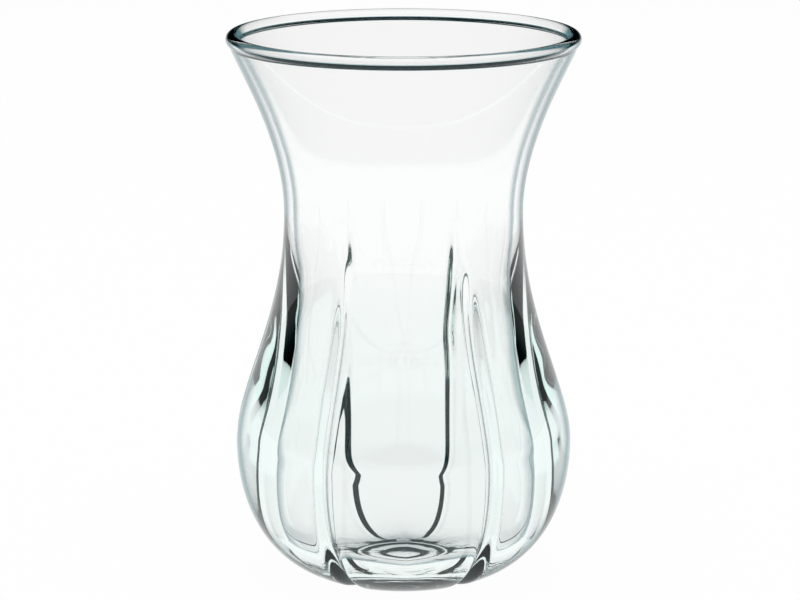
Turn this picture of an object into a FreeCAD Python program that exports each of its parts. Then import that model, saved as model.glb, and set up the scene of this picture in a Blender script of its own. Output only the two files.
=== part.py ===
import FreeCAD, Part

import os

import Sketcher

# A tulip-shaped tea glass: one piece of clear glass with a flared mouth, a narrow waist and a bulb
# whose thick wall is parted by six upright creases into six soft lobes. Millimetres, +Z up. The origin is
# the centre of the foot, on the surface that the glass stands on.

SIZES = {
    # the whole glass
    "height": 93.0,  # foot to the top of the lip
    "rim_radius": 29.5,  # outermost point of the lip
    "waist_radius": 20.1,
    "waist_height": 62.9,
    "bulb_radius": 28.6,
    "bulb_height": 23.0,  # where the bulb is widest
    "foot_radius": 11.3,  # where the flat foot turns up into the heel
    # how far each curve of the outline runs on along its tangent before it bends away
    "heel_reach": 9.9,
    "heel_rise": 13.8,
    "shoulder_rise": 9.2,
    "waist_drop": 18.3,
    "neck_rise": 12.7,
    "flare_slant": 1.0,
    "flare_drop": 3.7,
    # the glass wall
    "wall": 1.5,  # waist and mouth
    "bulb_wall": 7.0,  # the bulb is pressed thick
    "inside_rise": 4.3,  # the hollow's own shoulder_rise and waist_drop
    "inside_drop": 31.8,
    "floor_thickness": 5.5,
    "floor_radius": 12.0,  # flat part of the inside floor
    "floor_rise": 9.5,
    "lip_radius": 1.08,  # the round bead of the lip
    "lip_stand": 0.2,  # how far the bead stands out from the wall below it
    # the shallow recess under the foot and the two mould rings in it
    "recess_radius": 9.6,
    "recess_depth": 0.7,
    "mould_ring_radius": 8.0,
    "inner_ring_radius": 4.4,
    "mould_ring_bead": 0.12,
    # the six creases: the tool that cuts them is a rounded wedge whose tip runs down the bulb
    "crease_depth": 1.4,
    "crease_half": 1.3,  # half the width of the wedge
    "crease_reach": 3.0,  # from its tip to its flat back
    "crease_bend": 0.5,  # how far up from the tip its sides start to close
    "crease_tip": 0.6,  # half the width of its blunt tip
    "crease_top": 59.5,
    "crease_lift": 0.2,  # how far clear of the glass the tip is at both ends
    "crease_ease": 24.0,  # how far the tip's line runs on along its tangent, at the top and at the bulb
    "crease_rise": 11.0,
}
CREASES = 6
LEAST_CUT = 1.0  # mm3, less than any crease takes away

doc = FreeCAD.newDocument("tea_glass")


def make_sheet():
    """The driving dimensions, one named cell each."""
    sheet = doc.addObject("Spreadsheet::Sheet", "sizes")
    for row, (name, value) in enumerate(SIZES.items(), start=1):
        sheet.set(f"A{row}", name)
        sheet.set(f"B{row}", str(value))
        sheet.setAlias(f"B{row}", name)
    doc.recompute()
    return sheet


def origin_part(body, role):
    """One of the body's own origin planes or axes."""
    return next(part for part in body.Origin.OriginFeatures if part.Role == role)


def new_sketch(body, name, plane):
    sketch = body.newObject("Sketcher::SketchObject", name)
    sketch.AttachmentSupport = [(origin_part(body, plane), "")]
    sketch.MapMode = "FlatFace"
    return sketch


def amount(text):
    """The value of a sum of named sizes, such as "bulb_radius - bulb_wall"."""
    total = 0.0
    sign = 1
    for word in text.split():
        if word in ("+", "-"):
            sign = 1 if word == "+" else -1
        elif word != "0":
            total += sign * SIZES[word]
    return total


def bound(text):
    """The same sum as an expression of the sheet's cells."""
    return " ".join(f"sizes.{word}" if word in SIZES else word for word in text.split())


def pin(sketch, geometry, point, place):
    """Fixes one point of the sketch at a place (across, up), both sums of named sizes."""
    across, up = place
    for kind, text, axis in (("DistanceX", across, -2), ("DistanceY", up, -1)):
        if text == "0":
            sketch.addConstraint(Sketcher.Constraint("PointOnObject", geometry, point, axis))
        else:
            rule = Sketcher.Constraint(kind, -1, 1, geometry, point, amount(text))
            sketch.setExpression(f"Constraints[{sketch.addConstraint(rule)}]", bound(text))


def draw(sketch, start, steps, closed):
    """Draws a chain from start. A step of one place is a straight line to it, and a step of three is
    a cubic curve: its two handles and its end. A closed chain ends with the place it started from."""
    pieces = []
    last = start
    for step in steps:
        ends = [FreeCAD.Vector(amount(across), amount(up), 0) for across, up in (last, *step)]
        if len(step) == 1:
            edge = Part.LineSegment(*ends)
        else:
            edge = Part.BSplineCurve()
            edge.buildFromPoles(ends, False, 3)
        pieces.append(sketch.addGeometry(edge, False))
        last = step[-1]
    for piece, step in zip(pieces, steps):
        if len(step) == 3:
            first_pole = sketch.GeometryCount
            sketch.exposeInternalGeometry(piece)
            pin(sketch, first_pole + 1, 3, step[0])
            pin(sketch, first_pole + 2, 3, step[1])
        if not (closed and piece == pieces[-1]):
            pin(sketch, piece, 2, step[-1])
    for before, after in zip(pieces, pieces[1:]):
        sketch.addConstraint(Sketcher.Constraint("Coincident", before, 2, after, 1))
    if closed:
        sketch.addConstraint(Sketcher.Constraint("Coincident", pieces[-1], 2, pieces[0], 1))
    pin(sketch, pieces[0], 1, start)
    doc.recompute()


def revolve(body, sketch, name):
    turned = body.newObject("PartDesign::Revolution", name)
    turned.Profile = sketch
    turned.ReferenceAxis = (sketch, ["V_Axis"])
    turned.Angle = 360
    doc.recompute()
    return turned


def wall_curves(inset_bulb, inset_waist, rise, drop, heel):
    """The three curves from the heel to the lip, each inset from the outline of the glass."""
    heel_start, heel_level, heel_rise = heel
    widest = f"bulb_radius - {inset_bulb}"
    narrowest = f"waist_radius - {inset_waist}"
    mouth = f"rim_radius - lip_stand - {inset_waist}"
    lip_level = "height - lip_radius"
    under_bulb = (
        (f"{heel_start} + heel_reach", heel_level),
        (widest, f"bulb_height - {heel_rise}"),
        (widest, "bulb_height"),
    )
    shoulder = (
        (widest, f"bulb_height + {rise}"),
        (narrowest, f"waist_height - {drop}"),
        (narrowest, "waist_height"),
    )
    flare = (
        (narrowest, "waist_height + neck_rise"),
        (f"{mouth} - flare_slant", f"{lip_level} - flare_drop"),
        (mouth, lip_level),
    )
    return [under_bulb, shoulder, flare]


def draw_crease_path(body):
    """The line that the tip of the wedge follows, from beside the waist to under the foot."""
    path = new_sketch(body, "crease_path", "XZ_Plane")
    clear = "waist_radius + crease_lift"
    beside = "bulb_radius - crease_depth"
    under = "0 - crease_lift"
    down_to_bulb = (
        (clear, "crease_top - crease_ease"),
        (beside, "bulb_height + crease_rise"),
        (beside, "bulb_height"),
    )
    under_heel = (
        (beside, "bulb_height - heel_rise"),
        ("foot_radius + heel_reach", under),
        ("foot_radius", under),
    )
    draw(path, (clear, "crease_top"), [down_to_bulb, under_heel], closed=False)
    return path


def draw_wedge(body):
    """The rounded wedge that cuts a crease, its tip at the top end of the path."""
    section = new_sketch(body, "crease_section", "XY_Plane")
    section.AttachmentOffset = FreeCAD.Placement(
        FreeCAD.Vector(0, 0, amount("crease_top")), FreeCAD.Rotation()
    )
    section.setExpression("AttachmentOffset.Base.z", bound("crease_top"))
    tip = "waist_radius + crease_lift"
    back = f"{tip} + crease_reach"
    bend = f"{tip} + crease_bend"
    one_side = ((bend, "crease_half"), (tip, "crease_tip"), (tip, "0"))
    other_side = ((tip, "0 - crease_tip"), (bend, "0 - crease_half"), (back, "0 - crease_half"))
    flat_back = ((back, "crease_half"),)
    draw(section, (back, "crease_half"), [one_side, other_side, flat_back], closed=True)
    return section


def cut_creases(body, solid):
    """Runs the wedge down the solid once, and repeats the cut round the axis."""
    crease = body.newObject("PartDesign::SubtractivePipe", "crease")
    crease.Profile = draw_wedge(body)
    crease.Spine = draw_crease_path(body)
    doc.recompute()
    ring = body.newObject("PartDesign::PolarPattern", "creases")
    ring.Originals = [crease]
    ring.Axis = (origin_part(body, "Z_Axis"), [""])
    ring.Angle = 360
    ring.Occurrences = CREASES
    body.Tip = ring
    doc.recompute()
    one_cut = solid.Shape.Volume - crease.Shape.Volume
    all_cuts = solid.Shape.Volume - ring.Shape.Volume
    print(f"one crease {one_cut:.1f} mm3, all {all_cuts:.1f} mm3")
    if one_cut < LEAST_CUT or all_cuts < (CREASES - 1) * one_cut:
        raise RuntimeError("a crease cuts nothing")


def make_outside():
    """The glass filled solid, with its recessed foot and the six creases."""
    body = doc.addObject("PartDesign::Body", "outside")
    outline = new_sketch(body, "outside_outline", "YZ_Plane")
    steps = [
        (("recess_radius - recess_depth", "recess_depth"),),
        (("recess_radius", "0"),),
        (("foot_radius", "0"),),
        *wall_curves("0", "0", "shoulder_rise", "waist_drop", ("foot_radius", "0", "heel_rise")),
        (("0", "height - lip_radius"),),
        (("0", "recess_depth"),),
    ]
    draw(outline, ("0", "recess_depth"), steps, closed=True)
    solid = revolve(body, outline, "outside_turned")
    cut_creases(body, solid)
    return body


def make_hollow():
    """The space inside the glass as a solid."""
    body = doc.addObject("PartDesign::Body", "hollow")
    outline = new_sketch(body, "hollow_outline", "YZ_Plane")
    floor = ("floor_radius", "floor_thickness", "floor_rise")
    curves = wall_curves("bulb_wall", "wall", "inside_rise", "inside_drop", floor)
    mouth = curves[-1][-1][0]
    steps = [
        (("floor_radius", "floor_thickness"),),
        *curves,
        ((mouth, "height"),),
        (("0", "height"),),
        (("0", "floor_thickness"),),
    ]
    draw(outline, ("0", "floor_thickness"), steps, closed=True)
    revolve(body, outline, "hollow_turned")
    return body


def make_ring(name, radius, bead, level):
    """A round bead laid in a ring about the axis."""
    ring = doc.addObject("Part::Torus", name)
    ring.setExpression("Radius1", bound(radius))
    ring.setExpression("Radius2", bound(bead))
    ring.setExpression("Placement.Base.z", bound(level))
    return ring


def make_glass():
    """The wall between the outside and the hollow, with its lip and the mould rings under the foot."""
    wall = doc.addObject("Part::Cut", "glass_wall")
    wall.Base = make_outside()
    wall.Tool = make_hollow()
    lip = make_ring("lip", "rim_radius - lip_radius", "lip_radius", "height - lip_radius")
    rings = [
        make_ring(name, f"{name}_radius", "mould_ring_bead", "recess_depth")
        for name in ("mould_ring", "inner_ring")
    ]
    glass = doc.addObject("Part::MultiFuse", "glass")
    glass.Shapes = [wall, lip, *rings]
    glass.Label = "tea_glass"
    glass.Placement = FreeCAD.Placement()
    doc.recompute()
    return glass


def check(parts):
    """Stops before anything is written if an object failed or a part isn't one valid solid."""
    for item in doc.Objects:
        if "Invalid" in item.State or "Error" in item.State:
            raise RuntimeError(f"{item.Name} failed: {item.State}")
    for part in parts:
        if part.Shape.isNull() or not part.Shape.isValid() or len(part.Shape.Solids) != 1:
            raise RuntimeError(f"{part.Label} is not one valid solid")


def main():
    make_sheet()
    parts = [make_glass()]
    check(parts)
    os.makedirs("parts", exist_ok=True)
    for part in parts:
        part.Shape.exportStep(f"parts/{part.Label}.step")
        box = part.Shape.optimalBoundingBox(False)
        print(f"{part.Label}: {part.Shape.Volume:.0f} mm3, {box.XLength:.2f} x {box.YLength:.2f} x {box.ZLength:.2f}")


main()
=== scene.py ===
import math

import bpy
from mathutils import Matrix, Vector


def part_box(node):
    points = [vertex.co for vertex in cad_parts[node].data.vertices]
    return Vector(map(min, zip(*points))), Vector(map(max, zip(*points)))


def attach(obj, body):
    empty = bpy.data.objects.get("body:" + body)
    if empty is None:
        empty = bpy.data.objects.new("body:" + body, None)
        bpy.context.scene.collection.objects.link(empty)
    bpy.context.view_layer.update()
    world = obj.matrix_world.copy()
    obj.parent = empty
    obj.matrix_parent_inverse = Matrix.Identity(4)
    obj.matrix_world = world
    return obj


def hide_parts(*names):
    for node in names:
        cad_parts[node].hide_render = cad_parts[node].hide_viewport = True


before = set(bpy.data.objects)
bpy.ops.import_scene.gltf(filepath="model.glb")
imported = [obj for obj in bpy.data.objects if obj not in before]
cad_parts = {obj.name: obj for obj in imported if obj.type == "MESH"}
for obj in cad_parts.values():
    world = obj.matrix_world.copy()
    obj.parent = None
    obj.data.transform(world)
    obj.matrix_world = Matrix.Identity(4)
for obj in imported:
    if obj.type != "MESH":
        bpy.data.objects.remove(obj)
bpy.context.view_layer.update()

# An empty tea glass on a pale floor, against a white backdrop under a dark studio ceiling, which gives
# the thick glass its dark bands; painted shade darkens it further where it is seen edge-on. One piece of
# glass:
# a flared mouth, a narrow waist and a thick bulb parted into six lobes by upright creases. Metres, in the
# CAD model's frame.

MM = 0.001
LOW, HIGH = (Vector(corner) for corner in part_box("tea_glass"))

# Sizes of the glass in millimetres, much the same as the CAD model's.
HEIGHT = (HIGH.z - LOW.z) / MM
RIM_RADIUS = (HIGH.x - LOW.x) / 2 / MM
WAIST_RADIUS = 20.1
WAIST_HEIGHT = 62.9
BULB_RADIUS = 28.6
BULB_HEIGHT = 23.0
FOOT_RADIUS = 11.3
HEEL_REACH = 9.9
HEEL_RISE = 13.8
SHOULDER_RISE = 9.2
WAIST_DROP = 18.3
NECK_RISE = 12.7
FLARE_SLANT = 1.0
FLARE_DROP = 3.7
WALL = 1.5
BULB_WALL = 6.7  # without the swells below, where the CAD model has 7.0 and no swells
INSIDE_RISE = 4.3
INSIDE_DROP = 31.8
FLOOR_THICKNESS = 5.5
FLOOR_RADIUS = 12.0
FLOOR_RISE = 9.5
LIP_RADIUS = 1.08
LIP_STAND = 0.2
RECESS_RADIUS = 9.6
RECESS_DEPTH = 0.7
RECESS_EDGE = 0.4  # the first part of the slope from the recess to the foot's edge
RING_RADII = (4.4, 8.0)
RING_BEAD = 0.03  # fainter than in the CAD model, where it has to be cut

# The creases outside, and the shallow swells that answer them inside. Both are bell curves across.
CREASES = 6
CREASE_DEPTH = 1.4
CREASE_WIDTH = 1.0
SWELL_DEPTH = 0.85
SWELL_WIDTH = 9.0
CREASE_TOP = 58.7
CREASE_FADE = 15.3
CREASE_HEEL = (9.0, 18.0)  # radii between which a crease runs out under the heel
HEEL_LEVEL = 15.0  # a place lower than this is on the heel

# How finely the mesh is divided.
CURVE_STEPS = (36, 58, 28)
LIP_STEPS = 26
LIP_START, LIP_END = -40, 220  # degrees, from the outer wall over the top to the inner wall
LIP_GAP = 0.1  # between the ends of the lip and the walls' last points
RING_STEPS = 9
FLOOR_SHARES = (0.8, 0.6, 0.4, 0.2, 0.0)  # the rings of the flat inside floor
SECTOR_STEPS = 56
FINE_SHARE = 0.75
FINE_POWER = 1.8


def cubic(places, steps):
    """Points along the cubic curve that has these four places as its ends and handles."""
    points = []
    for step in range(steps):
        t = step / (steps - 1)
        weights = ((1 - t) ** 3, 3 * t * (1 - t) ** 2, 3 * t * t * (1 - t), t**3)
        across = sum(weight * place[0] for weight, place in zip(weights, places))
        up = sum(weight * place[1] for weight, place in zip(weights, places))
        points.append((across, up))
    return points


def wall_line(inset_bulb, inset_waist, rise, drop, heel):
    """The line of the wall from the heel to just below the lip, inset from the outline."""
    heel_start, heel_level, heel_rise = heel
    widest = BULB_RADIUS - inset_bulb
    narrowest = WAIST_RADIUS - inset_waist
    mouth = RIM_RADIUS - LIP_STAND - inset_waist
    lip_level = HEIGHT - LIP_RADIUS
    under_bulb = [
        (heel_start, heel_level),
        (heel_start + HEEL_REACH, heel_level),
        (widest, BULB_HEIGHT - heel_rise),
        (widest, BULB_HEIGHT),
    ]
    shoulder = [
        (widest, BULB_HEIGHT),
        (widest, BULB_HEIGHT + rise),
        (narrowest, WAIST_HEIGHT - drop),
        (narrowest, WAIST_HEIGHT),
    ]
    flare = [
        (narrowest, WAIST_HEIGHT),
        (narrowest, WAIST_HEIGHT + NECK_RISE),
        (mouth - FLARE_SLANT, lip_level - FLARE_DROP),
        (mouth, lip_level),
    ]
    line = []
    for places, steps in zip((under_bulb, shoulder, flare), CURVE_STEPS):
        line += cubic(places, steps)[1:] if line else cubic(places, steps)
    return line


def lip_line(start, end):
    """The round bead of the lip, from one angle over the top to the other."""
    middle = (RIM_RADIUS - LIP_RADIUS, HEIGHT - LIP_RADIUS)
    line = []
    for step in range(LIP_STEPS):
        angle = math.radians(start + (end - start) * step / (LIP_STEPS - 1))
        line.append((middle[0] + LIP_RADIUS * math.cos(angle), middle[1] + LIP_RADIUS * math.sin(angle)))
    return line


def foot_line():
    """The recess under the foot with its two mould rings, from the axis to the foot's edge."""
    line = [(0.0, RECESS_DEPTH)]
    for ring in RING_RADII:
        for step in range(RING_STEPS):
            angle = math.pi * step / (RING_STEPS - 1)
            line.append((ring - RING_BEAD * math.cos(angle), RECESS_DEPTH - RING_BEAD * math.sin(angle)))
    edge = RECESS_RADIUS - RECESS_DEPTH
    line += [(edge, RECESS_DEPTH), (edge + RECESS_EDGE, RECESS_DEPTH / 2), (RECESS_RADIUS, 0.0)]
    return line


def section():
    """The closed section of the glass from the foot's centre round to the inside floor's centre. Each
    point is (radius, height, side): side is 1 on the outer wall, -1 on the inner wall and 0 elsewhere."""
    outer = wall_line(0, 0, SHOULDER_RISE, WAIST_DROP, (FOOT_RADIUS, 0, HEEL_RISE))
    inner_heel = (FLOOR_RADIUS, FLOOR_THICKNESS, FLOOR_RISE)
    inner = wall_line(BULB_WALL, WALL, INSIDE_RISE, INSIDE_DROP, inner_heel)
    lip = lip_line(LIP_START, LIP_END)
    line = [(radius, height, 0) for radius, height in foot_line()]
    line += [(radius, height, 1) for radius, height in outer if height < lip[0][1] - LIP_GAP]
    line += [(radius, height, 0) for radius, height in lip]
    line += [(radius, height, -1) for radius, height in reversed(inner) if height < lip[-1][1] - LIP_GAP]
    line += [(FLOOR_RADIUS * share, FLOOR_THICKNESS, 0) for share in FLOOR_SHARES]
    return line


def smooth(share):
    """Eases from 0 to 1."""
    share = min(max(share, 0.0), 1.0)
    return share * share * (3 - 2 * share)


def crease_share(radius, height):
    """How much of its full depth a crease has here: it fades out below the waist and under the heel."""
    start, end = CREASE_HEEL
    under_heel = smooth((radius - start) / (end - start)) if height < HEEL_LEVEL else 1.0
    return smooth((CREASE_TOP - height) / CREASE_FADE) * under_heel


def azimuths():
    """The directions of the mesh's columns as (angle, distance from the nearest crease), both in
    radians. They stand closer together near the creases."""
    half = math.pi / CREASES
    columns = []
    for crease in range(CREASES):
        for step in range(SECTOR_STEPS):
            share = 2 * step / SECTOR_STEPS - 1
            bent = math.copysign(abs(share) ** FINE_POWER, share)
            offset = half * (FINE_SHARE * bent + (1 - FINE_SHARE) * share)
            columns.append((2 * half * crease + offset, abs(offset)))
    return columns


def normals(line):
    """The outward normal (across, up) at each point of the section."""
    found = []
    for index in range(len(line)):
        before = line[max(index - 1, 0)]
        after = line[min(index + 1, len(line) - 1)]
        across, up = after[0] - before[0], after[1] - before[1]
        length = math.hypot(across, up)
        found.append((up / length, -across / length))
    return found


def glass_points():
    """Every column of the glass, point by point: the section, drawn in at the creases."""
    line = section()
    columns = azimuths()
    rows = []
    for (radius, height, side), (across, up) in zip(line, normals(line)):
        share = crease_share(radius, height)
        row = []
        for angle, away in columns:
            arc = away * radius
            if side == 1:
                drawn = CREASE_DEPTH * share * math.exp(-((arc / CREASE_WIDTH) ** 2))
            else:
                drawn = SWELL_DEPTH * share * math.exp(-((arc / SWELL_WIDTH) ** 2))
            out = radius - drawn * side * across
            level = height - drawn * side * up
            row.append((out * math.cos(angle) * MM, out * math.sin(angle) * MM, level * MM))
        rows.append(row)
    return rows


def make_glass():
    """The whole glass as one closed, smooth mesh."""
    rows = glass_points()
    count = len(rows[0])
    points = [rows[0][0]]
    for row in rows[1:-1]:
        points += row
    points.append(rows[-1][0])
    faces = [(0, 1 + (column + 1) % count, 1 + column) for column in range(count)]
    for row in range(len(rows) - 3):
        start = 1 + row * count
        for column in range(count):
            beside = (column + 1) % count
            faces.append((start + column, start + beside, start + count + beside, start + count + column))
    last_ring = 1 + (len(rows) - 3) * count
    top = len(points) - 1
    faces += [(last_ring + column, last_ring + (column + 1) % count, top) for column in range(count)]
    mesh = bpy.data.meshes.new("tea_glass_body")
    mesh.from_pydata(points, [], faces)
    mesh.polygons.foreach_set("use_smooth", [True] * len(mesh.polygons))
    mesh.update()
    glass = bpy.data.objects.new("tea_glass_body", mesh)
    bpy.context.collection.objects.link(glass)
    return glass


def new_material(name):
    material = bpy.data.materials.new(name)
    material.use_nodes = True
    return material, material.node_tree.nodes, material.node_tree.links


def map_range(nodes, links, source, start, end):
    """A node that eases the source from one pair of values to another."""
    ease = nodes.new("ShaderNodeMapRange")
    ease.interpolation_type = "SMOOTHSTEP"
    ease.inputs["From Min"].default_value, ease.inputs["To Min"].default_value = start
    ease.inputs["From Max"].default_value, ease.inputs["To Max"].default_value = end
    links.new(source, ease.inputs["Value"])
    return ease.outputs["Result"]


CLEAR = (1.0, 1.0, 1.0, 1.0)
GREEN_TINT = (0.80, 0.97, 0.93, 1.0)
TINT_DENSITY = 30.0
IOR = 1.5
PAINTED_EDGE_SHADE = (0.02, 0.08, 0.10, 1.0)  # painted shade, dark blue-green where the glass is seen along its surface
EDGE_FROM, EDGE_FULL = 0.64, 0.80  # how nearly edge-on that is, from 0 to 1
SHEEN_TINT = (0.85, 1.0, 1.0, 1.0)  # of what the outside mirrors
ROUGHEST = 0.012
WAVINESS = 0.03
MOULD_MARK = 0.25


def glass_material():
    """Clear pressed glass: a faint sea-green tint through its thickness, with painted shade on its colour
    where it is seen edge-on, a surface that waves very slightly and the rougher mark that the mould
    leaves under the foot."""
    material, nodes, links = new_material("clear_glass")
    shader = nodes["Principled BSDF"]
    shader.inputs["Specular Tint"].default_value = SHEEN_TINT
    # Painted shade: the colour darkens to blue-green where the glass is seen edge-on, in place of the
    # dark surroundings it shows there.
    edge = nodes.new("ShaderNodeLayerWeight")
    edge.inputs["Blend"].default_value = 0.5
    grazing = map_range(nodes, links, edge.outputs["Facing"], (EDGE_FROM, 0.0), (EDGE_FULL, 1.0))
    shade = nodes.new("ShaderNodeMix")
    shade.data_type = "RGBA"  # its colours are sockets 6 and 7, and its result is output 2
    links.new(grazing, shade.inputs[0])
    shade.inputs[6].default_value = CLEAR
    shade.inputs[7].default_value = PAINTED_EDGE_SHADE
    links.new(shade.outputs[2], shader.inputs["Base Color"])
    shader.inputs["Transmission Weight"].default_value = 1.0
    shader.inputs["IOR"].default_value = IOR
    place = nodes.new("ShaderNodeTexCoord")
    parts = nodes.new("ShaderNodeSeparateXYZ")
    links.new(place.outputs["Object"], parts.inputs[0])

    polish = nodes.new("ShaderNodeTexNoise")
    polish.inputs["Scale"].default_value = 60.0
    links.new(place.outputs["Object"], polish.inputs["Vector"])
    roughness = map_range(nodes, links, polish.outputs["Fac"], (0.3, 0.0), (0.8, ROUGHEST))
    links.new(roughness, shader.inputs["Roughness"])

    waves = nodes.new("ShaderNodeTexNoise")
    waves.inputs["Scale"].default_value = 90.0
    waves.inputs["Detail"].default_value = 1.0
    links.new(place.outputs["Object"], waves.inputs["Vector"])
    wave_bump = nodes.new("ShaderNodeBump")
    wave_bump.inputs["Strength"].default_value = WAVINESS
    wave_bump.inputs["Distance"].default_value = MM
    links.new(waves.outputs["Fac"], wave_bump.inputs["Height"])

    mould = nodes.new("ShaderNodeTexNoise")
    mould.inputs["Scale"].default_value = 260.0
    mould.inputs["Detail"].default_value = 3.0
    mould.inputs["Distortion"].default_value = 1.5
    links.new(place.outputs["Object"], mould.inputs["Vector"])
    mould_bump = nodes.new("ShaderNodeBump")
    mould_bump.inputs["Distance"].default_value = MM
    links.new(mould.outputs["Fac"], mould_bump.inputs["Height"])
    links.new(wave_bump.outputs["Normal"], mould_bump.inputs["Normal"])
    under_foot = map_range(nodes, links, parts.outputs["Z"], (0.8 * MM, MOULD_MARK), (1.5 * MM, 0.0))
    links.new(under_foot, mould_bump.inputs["Strength"])
    links.new(mould_bump.outputs["Normal"], shader.inputs["Normal"])

    tint = nodes.new("ShaderNodeVolumeAbsorption")
    tint.inputs["Color"].default_value = GREEN_TINT
    tint.inputs["Density"].default_value = TINT_DENSITY
    links.new(tint.outputs["Volume"], nodes["Material Output"].inputs["Volume"])
    return material


def seen_directly(nodes, links):
    """1 for rays from the camera or through or off the glass, and 0 for the light on the floor."""
    path = nodes.new("ShaderNodeLightPath")
    strongest = path.outputs["Is Camera Ray"]
    for ray in ("Is Glossy Ray", "Is Transmission Ray"):
        either = nodes.new("ShaderNodeMath")
        either.operation = "MAXIMUM"
        links.new(strongest, either.inputs[0])
        links.new(path.outputs[ray], either.inputs[1])
        strongest = either.outputs["Value"]
    return strongest


FLOOR_HALF = 3.0
FLOOR_GLOW = 0.98


def make_floor():
    """A pale floor that shows nearly white and keeps a soft shadow."""
    mesh = bpy.data.meshes.new("floor")
    corners = [(-1, -1), (1, -1), (1, 1), (-1, 1)]
    mesh.from_pydata([(x * FLOOR_HALF, y * FLOOR_HALF, LOW.z) for x, y in corners], [], [(0, 1, 2, 3)])
    floor = bpy.data.objects.new("floor", mesh)
    bpy.context.collection.objects.link(floor)
    material, nodes, links = new_material("floor_paper")
    nodes.remove(nodes["Principled BSDF"])
    paper = nodes.new("ShaderNodeBsdfDiffuse")
    paper.inputs["Color"].default_value = (0.9, 0.9, 0.9, 1.0)
    glow = nodes.new("ShaderNodeEmission")
    glow.inputs["Strength"].default_value = 1.0
    share = nodes.new("ShaderNodeMath")
    share.operation = "MULTIPLY"
    share.inputs[1].default_value = FLOOR_GLOW
    links.new(seen_directly(nodes, links), share.inputs[0])
    mix = nodes.new("ShaderNodeMixShader")
    links.new(share.outputs["Value"], mix.inputs["Fac"])
    links.new(paper.outputs["BSDF"], mix.inputs[1])
    links.new(glow.outputs["Emission"], mix.inputs[2])
    links.new(mix.outputs["Shader"], nodes["Material Output"].inputs["Surface"])
    mesh.materials.append(material)


# The backdrop's colour by elevation in degrees: white paper, then a cool shadow, then the dark ceiling.
BACKDROP = (
    (1.0, (1.0, 1.0, 1.0)),
    (2.5, (0.52, 0.80, 0.80)),
    (4.5, (0.06, 0.15, 0.16)),
    (7.0, (0.002, 0.008, 0.011)),
)
BACKDROP_SHEEN = 0.3  # how brightly the outside of the glass mirrors it


def make_world():
    """A white backdrop all round with a dark ceiling above it. The camera itself sees only white."""
    world = bpy.data.worlds.new("studio")
    bpy.context.scene.world = world
    world.use_nodes = True
    nodes, links = world.node_tree.nodes, world.node_tree.links
    backdrop = nodes["Background"]
    place = nodes.new("ShaderNodeTexCoord")
    parts = nodes.new("ShaderNodeSeparateXYZ")
    links.new(place.outputs["Generated"], parts.inputs[0])
    shade = nodes.new("ShaderNodeValToRGB")
    stops = shade.color_ramp.elements
    while len(stops) < len(BACKDROP):
        stops.new(1.0)
    for stop, (elevation, colour) in zip(stops, BACKDROP):
        stop.position = math.sin(math.radians(elevation))
        stop.color = (*colour, 1.0)
    links.new(parts.outputs["Z"], shade.inputs["Fac"])
    links.new(shade.outputs["Color"], backdrop.inputs["Color"])
    white = nodes.new("ShaderNodeBackground")
    white.inputs["Color"].default_value = (1.0, 1.0, 1.0, 1.0)
    path = nodes.new("ShaderNodeLightPath")
    mix = nodes.new("ShaderNodeMixShader")
    links.new(path.outputs["Is Camera Ray"], mix.inputs["Fac"])
    mirrored = nodes.new("ShaderNodeMath")
    mirrored.operation = "SUBTRACT"
    mirrored.use_clamp = True
    links.new(path.outputs["Is Glossy Ray"], mirrored.inputs[0])
    links.new(path.outputs["Is Transmission Ray"], mirrored.inputs[1])
    sheen = map_range(nodes, links, mirrored.outputs["Value"], (0.0, 1.0), (1.0, BACKDROP_SHEEN))
    links.new(sheen, backdrop.inputs["Strength"])
    links.new(backdrop.outputs["Background"], mix.inputs[1])
    links.new(white.outputs["Background"], mix.inputs[2])
    links.new(mix.outputs["Shader"], nodes["World Output"].inputs["Surface"])


LAMP_HEIGHT = 0.9
LAMP_SIZE = 1.0
LAMP_WATTS = 9.0


def make_lamp():
    """One wide soft lamp above the glass."""
    light = bpy.data.lights.new("softbox", "AREA")
    light.shape = "SQUARE"
    light.size = LAMP_SIZE
    light.energy = LAMP_WATTS
    lamp = bpy.data.objects.new("softbox", light)
    lamp.location = (0.0, 0.0, LOW.z + LAMP_HEIGHT)
    lamp.visible_glossy = False
    lamp.visible_transmission = False
    bpy.context.collection.objects.link(lamp)


CAMERA_DISTANCE = 0.4641
CAMERA_ELEVATION = 13.63
CAMERA_AZIMUTH = -91.7  # a lobe faces -Y, and the glass is turned a little from it
AIM_HEIGHT = 0.5074  # of the glass's height
AIM_ASIDE = -0.0006
LENS = 123.2


def make_camera():
    """The camera stands in front of one lobe and looks slightly down."""
    azimuth = math.radians(CAMERA_AZIMUTH)
    elevation = math.radians(CAMERA_ELEVATION)
    back = Vector((math.cos(azimuth), math.sin(azimuth), 0.0))
    right = Vector((-back.y, back.x, 0.0))
    aim = Vector((0.0, 0.0, LOW.z + AIM_HEIGHT * (HIGH.z - LOW.z))) + right * AIM_ASIDE
    away = back * math.cos(elevation) + Vector((0.0, 0.0, math.sin(elevation)))
    camera = bpy.data.objects.new("camera", bpy.data.cameras.new("camera"))
    camera.location = aim + away * CAMERA_DISTANCE
    camera.rotation_euler = (-away).to_track_quat("-Z", "Y").to_euler()
    camera.data.lens = LENS
    camera.data.clip_start = 0.01
    bpy.context.collection.objects.link(camera)
    bpy.context.scene.camera = camera


def main():
    glass = make_glass()
    glass.data.materials.append(glass_material())
    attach(glass, "root")
    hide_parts("tea_glass")
    make_floor()
    make_world()
    make_lamp()
    make_camera()
    bpy.context.scene.view_settings.view_transform = "Standard"


main()
